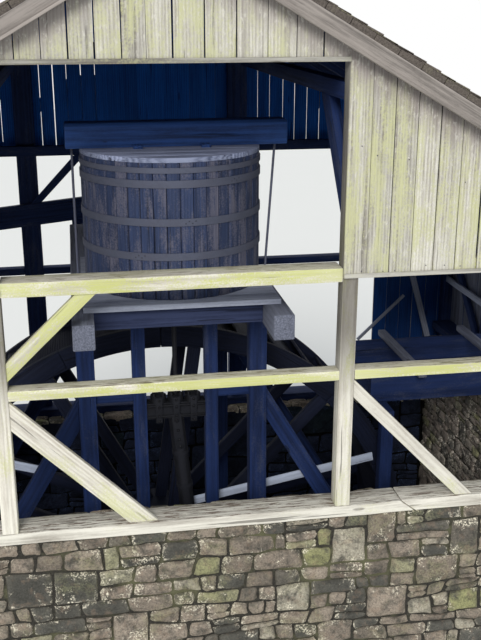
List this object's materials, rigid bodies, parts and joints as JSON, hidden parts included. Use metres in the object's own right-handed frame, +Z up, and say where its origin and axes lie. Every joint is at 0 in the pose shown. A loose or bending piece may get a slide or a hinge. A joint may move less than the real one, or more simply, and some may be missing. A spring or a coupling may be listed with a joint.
{
  "type": "water wheel with its blowing tub and wheelhouse",
  "caption": "Timber water wheel in a stone pit under an open gabled wheelhouse, with a flume and a hooped blowing tub driven by a crank.",
  "frame": {"origin": "middle of the footprint under the roof, at the foot of the stone walls", "axes": "+Z up, +Y from the open front towards the rear, +X to the right of someone who faces the front"},
  "size_m": [10.15, 5.86, 10.6939],
  "materials": {
    "rubble_stone": "random rubble laid in recessed dark joints",
    "lichened_timber": "weathered timber with yellow-green lichen",
    "pale_timber": "weathered pale timber",
    "siding": "weathered vertical boards with lichen",
    "shingles": "dark weathered shingles",
    "rake_wood": "weathered grey board",
    "tub_wood": "old dark staves",
    "iron": "dark rusted iron",
    "wheel_wood": "dark wet timber",
    "machine_timber": "dark hewn timber"
  },
  "bodies": {
    "wheelhouse": {"front_stone_wall": "rubble_stone", "rear_stone_wall": "rubble_stone", "left_stone_wall": "rubble_stone", "right_stone_wall": "rubble_stone", "bearing_walls": "rubble_stone", "front_sill": "lichened_timber", "side_sills": "lichened_timber", "rear_sill": "machine_timber", "posts": "pale_timber", "front_girt": "lichened_timber", "middle_rails": "lichened_timber", "wall_braces": "pale_timber", "headers": "machine_timber", "side_plates": "machine_timber", "tie_beams": "machine_timber", "slope_beam": "machine_timber", "slope_beam_props": "machine_timber", "gable_boards": "siding", "eave_boards": "siding", "drip_boards": "siding", "rear_gable_boards": "siding", "corner_boards": "siding", "rafters": "machine_timber", "ridge_beam": "machine_timber", "roof_left": "shingles", "roof_right": "shingles", "rake_boards": "rake_wood", "tub_frame_legs": "machine_timber", "tub_frame_braces": "machine_timber", "tub_frame_sills": "machine_timber", "tub_bearers": "machine_timber", "tub_cross_beams": "machine_timber", "platform": "machine_timber", "tub_staves": "tub_wood", "tub_hoops": "iron", "tub_lid": "tub_wood", "lid_cleats": "tub_wood", "top_beam": "tub_wood", "tie_rods": "iron", "guide_posts": "machine_timber", "guide_rails": "machine_timber", "piston_rod": "iron", "connecting_rod": "machine_timber", "rod_straps": "iron", "pit_planks": "pale_timber", "bearing_blocks": "machine_timber", "flume": "machine_timber", "flume_ties": "machine_timber", "flume_trestle": "machine_timber"},
    "wheel": {"wheel_shaft": "wheel_wood", "wheel_arms": "wheel_wood", "wheel_shrouds": "wheel_wood", "wheel_sole": "wheel_wood", "wheel_buckets": "wheel_wood", "crank": "iron"}
  },
  "joints": [
    {"name": "wheel_spin", "type": "hinge", "parent": "wheelhouse", "child": "wheel", "pos_m": [0.06, 0.3, 3.4], "axis": [0, 1, 0], "continuous": true}
  ]
}
